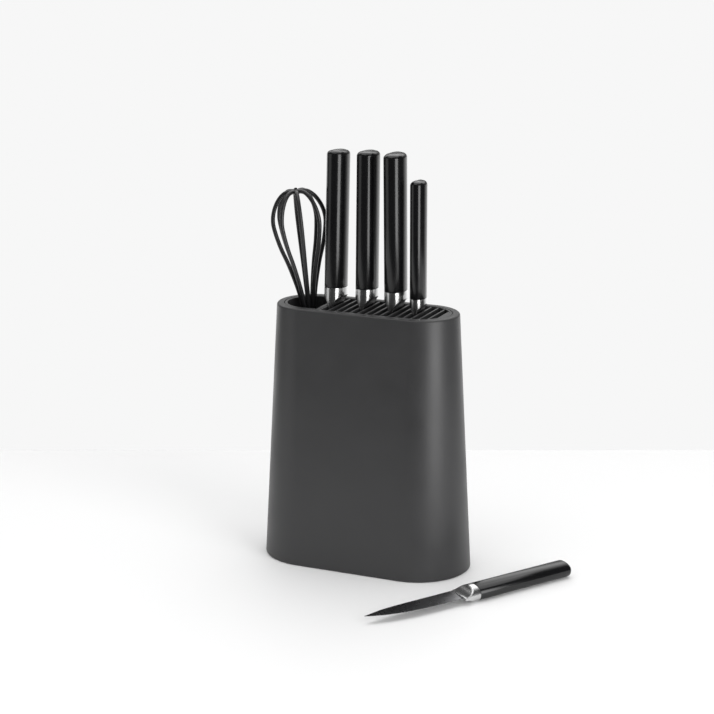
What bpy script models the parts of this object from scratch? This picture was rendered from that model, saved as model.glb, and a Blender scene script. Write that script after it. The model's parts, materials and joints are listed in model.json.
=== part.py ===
"""Knife block: tapered shell, lift-out slotted insert, five knives and a whisk.

Metres, +Z up.  The block stands on its pad at the origin with its long axis along X and its
front towards -Y.  Four knives hang in the slots, the whisk stands in the utensil well and the
paring knife lies on the worktop in front.
"""

import math
from dataclasses import dataclass

import bmesh
import bpy
from mathutils import Matrix, Vector

GAP = 0.0003
ARC_STEPS = 24

# Shell: round-ended plan, straight tapered walls
BLOCK_HEIGHT = 0.225
FOOT_HALF_LENGTH = 0.0935
FOOT_RADIUS = 0.0465
TOP_HALF_LENGTH = 0.082
TOP_RADIUS = 0.032
SHELL_WALL = 0.003
SHELL_BOTTOM = GAP
FOOT_EDGE_RADIUS = 0.001
RIM_EDGE_RADIUS = 0.002
RIM_WIDTH = 0.0063
RIM_DEPTH = 0.004
RIM_SLOPE = 0.004

# Foot: pad, plate, screws and the bosses that take them
PAD_THICKNESS = 0.0015
PAD_HALF_LENGTH = 0.078
PAD_RADIUS = 0.031
PLATE_THICKNESS = 0.0032
PLATE_BOTTOM = PAD_THICKNESS + GAP
PLATE_TOP = PLATE_BOTTOM + PLATE_THICKNESS
PLATE_HALF_LENGTH = 0.0899
PLATE_RADIUS = 0.0428
BOSS_OUT = 0.0375
BOSS_ANGLE = math.radians(60)
BOSS_RADIUS = 0.004
BOSS_HEIGHT = 0.019
BOSS_RUN_OUT = 0.0063
SCREW_RADIUS = 0.0013
SCREW_LENGTH = 0.012
SCREW_HEAD_RADIUS = 0.003
SCREW_HEAD_HEIGHT = 0.0014

# Insert: a straight round-ended tube that stands on the plate
INSERT_HALF_LENGTH = TOP_HALF_LENGTH - RIM_WIDTH - GAP
INSERT_RADIUS = TOP_RADIUS - RIM_WIDTH - GAP
INSERT_BOTTOM = PLATE_TOP + GAP
RING_TOP = BLOCK_HEIGHT - 0.0002
SLAT_TOP = BLOCK_HEIGHT - 0.0006
SLAT_BOTTOM = 0.105
GRID_HALF_LENGTH = 0.073
GRID_RADIUS = 0.0243
SLOT_COUNT = 15
SLOT_PITCH = 0.00687
SLOT_WIDTH = 0.0052
FIRST_SLOT_X = -0.0304
DIVIDER_LEFT = -0.0380
DIVIDER_STEP = 0.0015
WELL_RADIUS = 0.023
WELL_FLOOR = 0.073
WELL_FLOOR_THICKNESS = 0.003
WELL_END = -GRID_HALF_LENGTH + 0.0002
GRID_STEPS = 40
WELL_STEPS = 24
CUT_CLEAR = 0.005

# Knives: common to all
HANDLE_POWER = 2.25
HANDLE_EDGE_RADIUS = 0.0030
HANDLE_DOME = 0.0012
BUTT_FLAT_SHARE = 0.32
OVAL_STEPS = 32
TANG_SHARE = 0.6
BOLSTER_FOOT_THICK = 0.0026
BLADE_THICK = 0.0022
EDGE_THICK = 0.0003
TIP_WIDTH = 0.0006
TANG_WIDTH = 0.010
TANG_GRIND = 0.02
BLADE_GRIND = 0.35
BLADE_STATIONS = 20
SPINE_BELOW_BOLSTER = 0.0004
SCOOP_OVERRUN = 1.25
SCOOP_STEPS = 12
SCOOP_CLEAR = 0.002

# Whisk: the cage hangs from its hub, the handle stands in the well
WHISK_FOOT = Vector((-0.0465, 0.0149, 0.0806))
WHISK_LEAN = Vector((-0.0876, -0.0553, 1.0)).normalized()
WHISK_HUB = 0.2434
CAGE_ROUTE = ((0.0012, 0.0038), (0.0055, 0.0032), (0.0105, 0.0044), (0.0160, 0.0095), (0.0205, 0.0179),
              (0.0225, 0.0274), (0.0215, 0.0374), (0.0182, 0.0514), (0.0133, 0.0664), (0.0082, 0.0860),
              (0.0050, 0.1030), (0.0040, 0.1130))
STRAND_COUNT = 8
STRAND_RADIUS = 0.0015
STRAND_TURN = math.radians(-60)
NUB_RADIUS = 0.0013
NUB_HEIGHT = 0.0012
HUB_RADIUS = 0.0040
HUB_HEIGHT = 0.0056
PLUG_RADIUS = 0.0061
PLUG_TOP = 0.1085
PLUG_LENGTH = 0.014
WHISK_HANDLE_RADIUS = 0.0072
WHISK_HANDLE_TOP = 0.1100


@dataclass(frozen=True)
class Knife:
    """Sizes of one knife; its blade hangs along -Z and its cutting edge faces -Y."""

    name: str
    handle_length: float
    thick: float
    deep: float
    bolster_length: float
    scoop_start: float
    blade_length: float
    blade_width: float
    spine_turn: float
    belly_turn: float
    belly_power: float
    tip_drop: float


@dataclass(frozen=True)
class Hanging:
    """Where a knife hangs: its slot, the place of its bolster along it, and its lean backwards."""

    slot: int
    y: float
    lean: float
    lift: float


BIG_HANDLE = (0.117, 0.018, 0.025, 0.0203, 0.0075)
SMALL_HANDLE = (0.100, 0.013, 0.019, 0.0162, 0.0058)
CHEF = Knife("chef_knife", *BIG_HANDLE, 0.200, 0.0350, 0.55, 0.20, 2.0, 0.0160)
BREAD = Knife("bread_knife", *BIG_HANDLE, 0.200, 0.0290, 0.70, 0.80, 2.0, 0.0200)
CARVING = Knife("carving_knife", *BIG_HANDLE, 0.200, 0.0280, 0.75, 0.60, 2.0, 0.0090)
UTILITY = Knife("utility_knife", *SMALL_HANDLE, 0.125, 0.0200, 0.60, 0.40, 2.4, 0.0060)
PARING = Knife("paring_knife", *SMALL_HANDLE, 0.090, 0.0150, 0.55, 0.00, 3.4, 0.0025)

HANGING = {
    CHEF: Hanging(0, 0.0015, math.radians(2.9), 0.0),
    BREAD: Hanging(4, 0.0053, math.radians(1.35), 0.0009),
    CARVING: Hanging(8, 0.0040, math.radians(-1.35), 0.0017),
    UTILITY: Hanging(11, 0.0033, math.radians(-0.5), 0.0009),
}

# The paring knife lies on its side: where its bolster ends, which way it points, and its roll
PARING_SEAT = Vector((0.1141, -0.0703, 0.0))
PARING_HEADING = Vector((-0.521, -0.854, 0.0)).normalized()
PARING_ROLL = math.radians(5)


# ---------------------------------------------------------------- scene and materials


def clear_scene():
    """Removes whatever the open file holds, and gives the part and cutter collections."""
    for item in list(bpy.data.objects):
        bpy.data.objects.remove(item, do_unlink=True)
    parts = bpy.data.collections.new("knife_block")
    cutters = bpy.data.collections.new("cutters")
    for collection in (parts, cutters):
        bpy.context.scene.collection.children.link(collection)
    return parts, cutters


PARTS, CUTTERS = clear_scene()


def material(name, colour, roughness, metallic=0.0):
    """A plain Principled material."""
    made = bpy.data.materials.new(name)
    made.use_nodes = True
    shader = made.node_tree.nodes["Principled BSDF"]
    shader.inputs["Base Color"].default_value = (*colour, 1.0)
    shader.inputs["Roughness"].default_value = roughness
    shader.inputs["Metallic"].default_value = metallic
    made.diffuse_color = (*colour, 1.0)
    return made


SHELL_PLASTIC = material("shell_plastic", (0.052, 0.052, 0.053), 0.55)
INSERT_PLASTIC = material("insert_plastic", (0.030, 0.030, 0.031), 0.50)
PLATE_PLASTIC = material("plate_plastic", (0.040, 0.040, 0.041), 0.60)
PAD_RUBBER = material("pad_rubber", (0.020, 0.020, 0.020), 0.80)
SCREW_STEEL = material("screw_steel", (0.50, 0.50, 0.50), 0.35, 1.0)
HANDLE_PLASTIC = material("handle_plastic", (0.010, 0.010, 0.011), 0.25)
POLISHED_STEEL = material("polished_steel", (0.66, 0.66, 0.66), 0.12, 1.0)
BLADE_STEEL = material("blade_steel", (0.42, 0.42, 0.43), 0.30, 1.0)
WHISK_NYLON = material("whisk_nylon", (0.018, 0.018, 0.019), 0.42)


# ---------------------------------------------------------------- shapes


def mesh_object(name, bm, collection, finish=None):
    """An object in the collection from the bmesh, smooth except over sharp edges."""
    mesh = bpy.data.meshes.new(name)
    bm.to_mesh(mesh)
    bm.free()
    mesh.shade_smooth()
    mesh.set_sharp_from_angle(angle=math.radians(35))
    if finish:
        mesh.materials.append(finish)
    made = bpy.data.objects.new(name, mesh)
    collection.objects.link(made)
    if collection is CUTTERS:
        made.hide_render = True
        made.display_type = "WIRE"
    return made


def loft(name, rings, collection, finish=None, closed=False):
    """A skin through rings whose points match, capped at both ends or closed onto itself."""
    bm = bmesh.new()
    rows = [[bm.verts.new(point) for point in ring] for ring in rings]
    pairs = list(zip(rows, rows[1:]))
    if closed:
        pairs.append((rows[-1], rows[0]))
    else:
        bm.faces.new(rows[0])
        bm.faces.new(rows[-1])
    count = len(rings[0])
    for low, high in pairs:
        for i in range(count):
            j = (i + 1) % count
            bm.faces.new((low[i], low[j], high[j], high[i]))
    bmesh.ops.recalc_face_normals(bm, faces=bm.faces)
    return mesh_object(name, bm, collection, finish)


def turned(name, profile, collection, finish=None, steps=24):
    """A solid of revolution about Z from (radius, height) points, given from top to bottom."""
    bm = bmesh.new()
    points = [bm.verts.new((radius, 0.0, height)) for radius, height in profile]
    for start, end in zip(points, points[1:]):
        bm.edges.new((start, end))
    made = mesh_object(name, bm, collection, finish)
    screw = made.modifiers.new("turn", "SCREW")
    screw.axis = "Z"
    screw.steps = steps
    screw.render_steps = steps
    screw.use_merge_vertices = True
    screw.merge_threshold = 0.00001
    return made


def stadium(half_length, radius, z):
    """Round-ended plan outline at height z, anticlockwise from above."""
    straight = half_length - radius
    points = []
    for side, start in ((1, -math.pi / 2), (-1, math.pi / 2)):
        for i in range(ARC_STEPS + 1):
            angle = start + math.pi * i / ARC_STEPS
            x = side * straight + radius * math.cos(angle)
            points.append(Vector((x, radius * math.sin(angle), z)))
    return points


def clipped_stadium(half_length, radius, low_x, high_x, steps):
    """Plan outline of the stretch of a round-ended shape between two x, without its height."""
    def half_width(x):
        past = max(0.0, abs(x) - (half_length - radius))
        return math.sqrt(max(0.0, radius * radius - past * past))

    along = [low_x + (high_x - low_x) * i / steps for i in range(steps + 1)]
    near = [(x, -half_width(x)) for x in along]
    far = [(x, half_width(x)) for x in reversed(along)]
    return near + far


def prism(name, outline, low, high, collection, finish=None):
    """The plan outline as a solid between two heights."""
    rings = [[Vector((x, y, z)) for x, y in outline] for z in (low, high)]
    return loft(name, rings, collection, finish)


def combine(target, tool, operation):
    """A live Boolean of the target with a hidden tool."""
    boolean = target.modifiers.new(tool.name, "BOOLEAN")
    boolean.operation = operation
    boolean.solver = "EXACT"
    boolean.object = tool


def catmull_rom(points, per_span):
    """A smooth route through the points, per_span samples between each two."""
    padded = [points[0] * 2 - points[1], *points, points[-1] * 2 - points[-2]]
    route = []
    for a, b, c, d in zip(padded, padded[1:], padded[2:], padded[3:]):
        for i in range(per_span):
            t = i / per_span
            route.append(0.5 * (2 * b + (c - a) * t + (2 * a - 5 * b + 4 * c - d) * t * t
                                + (3 * b - a - 3 * c + d) * t ** 3))
    return [*route, points[-1]]


# ---------------------------------------------------------------- block


def shell_section(z, inset):
    """The shell's outline at height z, moved in by inset."""
    share = z / BLOCK_HEIGHT
    half_length = FOOT_HALF_LENGTH + (TOP_HALF_LENGTH - FOOT_HALF_LENGTH) * share
    radius = FOOT_RADIUS + (TOP_RADIUS - FOOT_RADIUS) * share
    return stadium(half_length - inset, radius - inset, z)


def boss_places():
    """The four screw axes, in from the shell's round ends."""
    straight = FOOT_HALF_LENGTH - FOOT_RADIUS
    x = straight + BOSS_OUT * math.cos(BOSS_ANGLE)
    y = BOSS_OUT * math.sin(BOSS_ANGLE)
    return [(side_x * x, side_y * y) for side_x in (1, -1) for side_y in (1, -1)]


def boss_outline(place):
    """Plan outline of a boss: round towards the middle, and run out into the wall behind it."""
    straight = math.copysign(FOOT_HALF_LENGTH - FOOT_RADIUS, place[0])
    outward = Vector((place[0] - straight, place[1])).normalized()
    across = Vector((-outward.y, outward.x)) * BOSS_RADIUS
    middle = Vector(place)
    steps = 12
    angles = [math.pi * i / steps for i in range(steps + 1)]
    nose = [middle + across * math.cos(angle) - outward * BOSS_RADIUS * math.sin(angle) for angle in angles]
    return [*nose, middle - across + outward * BOSS_RUN_OUT, middle + across + outward * BOSS_RUN_OUT]


def round_tool(name, radius, low, high, place):
    """A hidden upright cylinder at a screw axis."""
    tool = turned(name, [(0, high), (radius, high), (radius, low), (0, low)], CUTTERS)
    tool.location = (place[0], place[1], 0.0)
    return tool


def build_shell():
    """The outer moulding: outside up, over the rim, down the inside, with bosses at its foot."""
    rings = [shell_section(SHELL_BOTTOM, FOOT_EDGE_RADIUS)]
    for i in range(1, 4):
        angle = math.radians(30 * i)
        rings.append(shell_section(SHELL_BOTTOM + FOOT_EDGE_RADIUS * (1 - math.cos(angle)),
                                   FOOT_EDGE_RADIUS * (1 - math.sin(angle))))
    for i in range(5):
        angle = math.radians(22.5 * i)
        rings.append(shell_section(BLOCK_HEIGHT - RIM_EDGE_RADIUS * (1 - math.sin(angle)),
                                   RIM_EDGE_RADIUS * (1 - math.cos(angle))))
    opening = (TOP_HALF_LENGTH - RIM_WIDTH, TOP_RADIUS - RIM_WIDTH)
    rings.append(stadium(*opening, BLOCK_HEIGHT))
    rings.append(stadium(*opening, BLOCK_HEIGHT - RIM_DEPTH))
    rings.append(shell_section(BLOCK_HEIGHT - RIM_DEPTH - RIM_SLOPE, SHELL_WALL))
    rings.append(shell_section(SHELL_BOTTOM, SHELL_WALL))
    shell = loft("outer_shell", rings, PARTS, SHELL_PLASTIC, closed=True)
    boss_bottom = PLATE_TOP + GAP
    for index, place in enumerate(boss_places(), 1):
        boss = prism(f"boss_{index}", boss_outline(place), boss_bottom, boss_bottom + BOSS_HEIGHT, CUTTERS)
        combine(shell, boss, "UNION")
        pilot = round_tool(f"pilot_{index}", SCREW_RADIUS + GAP, boss_bottom - GAP,
                           boss_bottom + SCREW_LENGTH, place)
        combine(shell, pilot, "DIFFERENCE")


def build_foot():
    """Base plate, its screws and the rubber pad under it."""
    rings = [stadium(PLATE_HALF_LENGTH, PLATE_RADIUS, z) for z in (PLATE_BOTTOM, PLATE_TOP)]
    plate = loft("base_plate", rings, PARTS, PLATE_PLASTIC)
    head_bottom = PLATE_BOTTOM + GAP
    head_top = head_bottom + SCREW_HEAD_HEIGHT
    profile = [(0, head_top + SCREW_LENGTH), (SCREW_RADIUS, head_top + SCREW_LENGTH),
               (SCREW_RADIUS, head_top), (SCREW_HEAD_RADIUS, head_top),
               (SCREW_HEAD_RADIUS, head_bottom), (0, head_bottom)]
    for index, place in enumerate(boss_places(), 1):
        hole = round_tool(f"hole_{index}", SCREW_RADIUS + GAP, 0.0, PLATE_TOP + GAP, place)
        combine(plate, hole, "DIFFERENCE")
        recess = round_tool(f"recess_{index}", SCREW_HEAD_RADIUS + GAP, 0.0, head_top + GAP, place)
        combine(plate, recess, "DIFFERENCE")
        screw = turned(f"base_screw_{index}", profile, PARTS, SCREW_STEEL)
        screw.location = (place[0], place[1], 0.0)
    rings = [stadium(PAD_HALF_LENGTH, PAD_RADIUS, z) for z in (0.0, PAD_THICKNESS)]
    loft("anti_slip_pad", rings, PARTS, PAD_RUBBER)


def slot_x(index):
    """The middle of a slot, counted from the divider."""
    return FIRST_SLOT_X + SLOT_PITCH * index


def insert_tools():
    """The hidden cutters of the insert: what is lower, open underneath, the well and the slots."""
    grid = (GRID_HALF_LENGTH, GRID_RADIUS)
    above = BLOCK_HEIGHT + CUT_CLEAR
    divider_right = slot_x(0) - SLOT_WIDTH / 2
    recess = clipped_stadium(*grid, divider_right - DIVIDER_STEP, GRID_HALF_LENGTH, GRID_STEPS)
    grid_plan = clipped_stadium(*grid, divider_right, GRID_HALF_LENGTH, GRID_STEPS)
    well = clipped_stadium(GRID_HALF_LENGTH, WELL_RADIUS, WELL_END, DIVIDER_LEFT, WELL_STEPS)
    tools = [
        prism("slat_recess", recess, SLAT_TOP, above, CUTTERS),
        prism("blade_space", grid_plan, 0.0, SLAT_BOTTOM, CUTTERS),
        prism("well", well, WELL_FLOOR, above, CUTTERS),
        prism("under_well", well, 0.0, WELL_FLOOR - WELL_FLOOR_THICKNESS, CUTTERS),
    ]
    for index in range(SLOT_COUNT):
        middle = slot_x(index)
        outline = clipped_stadium(*grid, middle - SLOT_WIDTH / 2, middle + SLOT_WIDTH / 2, 3)
        tools.append(prism(f"slot_{index + 1}", outline, SLAT_BOTTOM - CUT_CLEAR, above, CUTTERS))
    return tools


def build_insert():
    """The lift-out insert: ring, slats, divider and well in one moulding, open underneath."""
    rings = [stadium(INSERT_HALF_LENGTH, INSERT_RADIUS, z) for z in (INSERT_BOTTOM, RING_TOP)]
    insert = loft("slot_insert", rings, PARTS, INSERT_PLASTIC)
    for tool in insert_tools():
        combine(insert, tool, "DIFFERENCE")


# ---------------------------------------------------------------- knives


def oval(knife, z, inset=0.0):
    """The handle's cross-section at height z, rounder than an ellipse at its shoulders."""
    points = []
    for i in range(OVAL_STEPS):
        angle = 2 * math.pi * i / OVAL_STEPS
        cos, sin = math.cos(angle), math.sin(angle)
        x = math.copysign(abs(cos) ** (2 / HANDLE_POWER), cos) * (knife.thick / 2 - inset)
        y = math.copysign(abs(sin) ** (2 / HANDLE_POWER), sin) * (knife.deep / 2 - inset)
        points.append(Vector((x, y, z)))
    return points


def tang_reach(knife):
    """How far the tang goes up past the bolster's foot."""
    return knife.bolster_length + TANG_SHARE * knife.handle_length


def tang_tool(knife):
    """A hidden box that clears the tang."""
    width = TANG_WIDTH / 2 + GAP
    thick = BLADE_THICK / 2 + GAP
    outline = [(-thick, -width), (thick, -width), (thick, width), (-thick, width)]
    return prism(f"{knife.name}_tang_space", outline, -SCOOP_CLEAR, tang_reach(knife) + 2 * GAP, CUTTERS)


def build_handle(knife):
    """The black handle: an oval bar with a rounded, slightly domed butt and a socket."""
    low = knife.bolster_length + GAP
    high = knife.bolster_length + knife.handle_length - HANDLE_DOME
    rings = [oval(knife, low)]
    for i in range(5):
        angle = math.radians(22.5 * i)
        rings.append(oval(knife, high - HANDLE_EDGE_RADIUS * (1 - math.sin(angle)),
                          HANDLE_EDGE_RADIUS * (1 - math.cos(angle))))
    rings.append(oval(knife, high + HANDLE_DOME, knife.thick * BUTT_FLAT_SHARE))
    return loft(f"{knife.name}_handle", rings, PARTS, HANDLE_PLASTIC)


def scoop_arc(knife):
    """Height and radius of the hollow that sweeps from the bolster's foot out to its flank."""
    rise = knife.bolster_length - knife.scoop_start
    reach = (knife.thick - BOLSTER_FOOT_THICK) / 2
    return rise, (reach * reach + rise * rise) / (2 * reach)


def scoop_tool(knife, side):
    """A hidden cutter for the hollow on one flank of the bolster."""
    foot = BOLSTER_FOOT_THICK / 2
    rise, radius = scoop_arc(knife)
    sweep = math.asin(rise / radius) * SCOOP_OVERRUN
    profile = [(foot, -SCOOP_CLEAR)]
    for i in range(SCOOP_STEPS + 1):
        angle = sweep * i / SCOOP_STEPS
        profile.append((foot + radius * (1 - math.cos(angle)), radius * math.sin(angle)))
    profile.append((profile[-1][0] + CUT_CLEAR, profile[-1][1]))
    profile.append((profile[-1][0], -SCOOP_CLEAR))
    rings = [[Vector((side * x, y, z)) for x, z in profile] for y in (-knife.deep, knife.deep)]
    return loft(f"{knife.name}_scoop_{'right' if side > 0 else 'left'}", rings, CUTTERS)


def build_bolster(knife):
    """The polished bolster: it goes on the handle's oval and is scooped out on both flanks."""
    rings = [oval(knife, z) for z in (0.0, knife.bolster_length)]
    bolster = loft(f"{knife.name}_bolster", rings, PARTS, POLISHED_STEEL)
    tools = [scoop_tool(knife, side) for side in (1, -1)]
    return bolster, tools


def blade_edges(knife, share):
    """Where the spine and the cutting edge are, at a share of the blade's length."""
    spine_top = knife.deep / 2 - SPINE_BELOW_BOLSTER
    heel = spine_top - knife.blade_width
    tip = spine_top - knife.tip_drop
    fall = max(0.0, (share - knife.spine_turn) / (1 - knife.spine_turn)) ** 2
    rise = max(0.0, (share - knife.belly_turn) / (1 - knife.belly_turn)) ** knife.belly_power
    spine = spine_top - (knife.tip_drop - TIP_WIDTH / 2) * fall
    edge = heel + (tip - TIP_WIDTH / 2 - heel) * rise
    return spine, edge


def blade_ring(spine, edge, z, flat_share):
    """One blade section: flat sides that meet in a ground edge."""
    shoulder = edge + (spine - edge) * flat_share
    half = BLADE_THICK / 2
    fine = EDGE_THICK / 2
    right = [(half, spine), (half, shoulder), (fine, edge)]
    left = [(-x, y) for x, y in reversed(right)]
    return [Vector((x, y, z)) for x, y in right + left]


def build_blade(knife):
    """Blade and tang in one piece, from the tang's end down to the tip."""
    half = TANG_WIDTH / 2
    rings = [blade_ring(half, -half, z, TANG_GRIND) for z in (tang_reach(knife), 0.0)]
    for i in range(BLADE_STATIONS + 1):
        share = i / BLADE_STATIONS
        spine, edge = blade_edges(knife, share)
        rings.append(blade_ring(spine, edge, -GAP - knife.blade_length * share, BLADE_GRIND))
    return loft(f"{knife.name}_blade", rings, PARTS, BLADE_STEEL)


def build_knife(knife, matrix):
    """The three pieces of a knife under an empty at its bolster's foot."""
    seat = bpy.data.objects.new(f"{knife.name}_seat", None)
    PARTS.objects.link(seat)
    seat.matrix_world = matrix
    handle = build_handle(knife)
    bolster, scoops = build_bolster(knife)
    blade = build_blade(knife)
    tang_space = tang_tool(knife)
    for scoop in scoops:
        combine(bolster, scoop, "DIFFERENCE")
    combine(bolster, tang_space, "DIFFERENCE")
    combine(handle, tang_space, "DIFFERENCE")
    for piece in (handle, bolster, blade, tang_space, *scoops):
        piece.parent = seat


def hanging_matrix(knife, place):
    """Where a hanging knife's bolster foot is, wedged in its slot by the hollows of its flanks."""
    spread = SLOT_WIDTH / 2 - GAP - BOLSTER_FOOT_THICK / 2
    sink = math.sqrt(2 * scoop_arc(knife)[1] * spread - spread * spread)
    clearance = abs(math.sin(place.lean)) * knife.deep / 2
    seat = Vector((slot_x(place.slot), place.y, SLAT_TOP - sink + clearance + place.lift))
    return Matrix.Translation(seat) @ Matrix.Rotation(-place.lean, 4, "X")


def lying_matrix(knife):
    """Where the lying knife is: its handle's flank on the worktop, its edge rolled down."""
    up_handle = -PARING_HEADING
    level = Vector((up_handle.y, -up_handle.x, 0.0))
    to_edge = level * math.cos(PARING_ROLL) - Vector((0, 0, 1)) * math.sin(PARING_ROLL)
    to_spine = -to_edge
    flank = to_spine.cross(up_handle)
    lowest = min(flank.z * point.x + to_spine.z * point.y for point in oval(knife, 0.0))
    turn = Matrix((flank, to_spine, up_handle)).transposed().to_4x4()
    return Matrix.Translation(PARING_SEAT - Vector((0, 0, lowest))) @ turn


# ---------------------------------------------------------------- whisk


def whisk_matrix():
    """From the whisk's own frame, foot at the origin and hub up Z, to its lean in the well."""
    turn = Vector((0, 0, 1)).rotation_difference(WHISK_LEAN).to_matrix().to_4x4()
    return Matrix.Translation(WHISK_FOOT) @ turn


def build_strand(index):
    """One strand as a closed mesh, from the middle of the hub down into the plug."""
    turn = STRAND_TURN + 2 * math.pi * index / STRAND_COUNT
    around = Vector((math.cos(turn), math.sin(turn), 0.0))
    route = [around * out + Vector((0, 0, WHISK_HUB - down)) for out, down in CAGE_ROUTE]
    curve = bpy.data.curves.new(f"strand_{index + 1}", "CURVE")
    curve.dimensions = "3D"
    curve.bevel_depth = STRAND_RADIUS
    curve.bevel_resolution = 2
    curve.use_fill_caps = True
    points = catmull_rom(route, 3)
    spline = curve.splines.new("POLY")
    spline.points.add(len(points) - 1)
    for target, point in zip(spline.points, points):
        target.co = (*point, 1.0)
    rod = bpy.data.objects.new(f"strand_{index + 1}", curve)
    CUTTERS.objects.link(rod)
    solid = bpy.data.meshes.new_from_object(rod.evaluated_get(bpy.context.evaluated_depsgraph_get()))
    bpy.data.objects.remove(rod, do_unlink=True)
    bm = bmesh.new()
    bm.from_mesh(solid)
    bmesh.ops.remove_doubles(bm, verts=bm.verts, dist=0.00001)
    bmesh.ops.recalc_face_normals(bm, faces=bm.faces)
    return mesh_object(f"strand_tool_{index + 1}", bm, CUTTERS)


def build_whisk():
    """Cage and handle under an empty at the handle's foot."""
    foot = bpy.data.objects.new("whisk_foot", None)
    PARTS.objects.link(foot)
    foot.matrix_world = whisk_matrix()
    plug_top = WHISK_HUB - PLUG_TOP
    plug_bottom = plug_top - PLUG_LENGTH
    cage = turned("whisk_cage", [(0, plug_top), (PLUG_RADIUS - 0.001, plug_top),
                                 (PLUG_RADIUS, plug_top - 0.001), (PLUG_RADIUS, plug_bottom),
                                 (0, plug_bottom)], PARTS, WHISK_NYLON)
    nub_foot = WHISK_HUB - NUB_HEIGHT
    hub_foot = WHISK_HUB - HUB_HEIGHT
    hub_profile = [(0, WHISK_HUB), (NUB_RADIUS, WHISK_HUB), (NUB_RADIUS, nub_foot),
                   (HUB_RADIUS * 0.7, nub_foot), (HUB_RADIUS, nub_foot - 0.001),
                   (HUB_RADIUS, hub_foot), (0, hub_foot)]
    tools = [turned("hub_tool", hub_profile, CUTTERS)]
    tools += [build_strand(index) for index in range(STRAND_COUNT)]
    for tool in tools:
        combine(cage, tool, "UNION")
    handle_top = WHISK_HUB - WHISK_HANDLE_TOP
    end = WHISK_HANDLE_RADIUS
    profile = [(0, plug_bottom - GAP), (PLUG_RADIUS + GAP, plug_bottom - GAP),
               (PLUG_RADIUS + GAP, handle_top), (end, handle_top)]
    for i in range(7):
        angle = math.radians(15 * i)
        profile.append((end * math.cos(angle), -end * math.sin(angle)))
    handle = turned("whisk_handle", profile, PARTS, WHISK_NYLON)
    for piece in (cage, handle, *tools):
        piece.parent = foot


def main():
    """Builds every piece of the block and its set."""
    build_shell()
    build_foot()
    build_insert()
    for knife, place in HANGING.items():
        build_knife(knife, hanging_matrix(knife, place))
    build_knife(PARING, lying_matrix(PARING))
    build_whisk()


main()
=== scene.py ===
"""Finished look of the knife block, its knives and its whisk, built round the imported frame.

Metres, +Z up.  The block stands at the origin with its long side along X and its front
towards -Y.  Every new piece is made in place, so its object stays at the origin.
"""

import json
import logging
import math
from dataclasses import dataclass
from enum import Enum
from typing import Iterable, Sequence

import bmesh
import bpy
from mathutils import Matrix, Vector


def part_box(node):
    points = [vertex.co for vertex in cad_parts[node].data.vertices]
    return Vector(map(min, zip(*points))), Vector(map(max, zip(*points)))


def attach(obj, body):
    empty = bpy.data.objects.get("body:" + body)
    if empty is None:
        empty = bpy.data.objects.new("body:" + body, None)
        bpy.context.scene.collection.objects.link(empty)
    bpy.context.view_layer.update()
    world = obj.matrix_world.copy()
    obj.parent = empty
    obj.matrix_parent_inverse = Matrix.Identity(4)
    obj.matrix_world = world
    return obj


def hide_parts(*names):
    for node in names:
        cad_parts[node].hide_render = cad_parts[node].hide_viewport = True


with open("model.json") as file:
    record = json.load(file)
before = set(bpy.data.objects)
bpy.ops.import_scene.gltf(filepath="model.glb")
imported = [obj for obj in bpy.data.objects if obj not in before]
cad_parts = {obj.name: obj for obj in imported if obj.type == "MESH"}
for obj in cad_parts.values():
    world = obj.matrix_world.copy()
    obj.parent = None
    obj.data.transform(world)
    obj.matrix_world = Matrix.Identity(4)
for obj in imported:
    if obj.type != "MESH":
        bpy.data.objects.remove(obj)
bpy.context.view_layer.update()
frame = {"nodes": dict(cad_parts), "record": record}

LOG = logging.getLogger("knife_block")
SMOOTH_ANGLE = math.radians(32)
SAME_PLACE = 1e-6
Outline = list[Vector]
Ring = list[bmesh.types.BMVert]


class Body(str, Enum):
    """The moving bodies of the block, as the record names them."""

    BLOCK = "block"
    INSERT = "insert"
    WHISK = "whisk"


class Slot(str, Enum):
    """The record's material slots."""

    SHELL = "shell_plastic"
    INSERT = "insert_plastic"
    PLATE = "plate_plastic"
    PAD = "pad_rubber"
    SCREW = "screw_steel"
    HANDLE = "handle_plastic"
    BOLSTER = "polished_steel"
    BLADE = "blade_steel"
    WHISK = "whisk_nylon"


# ---------------------------------------------------------------- finishes


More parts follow.
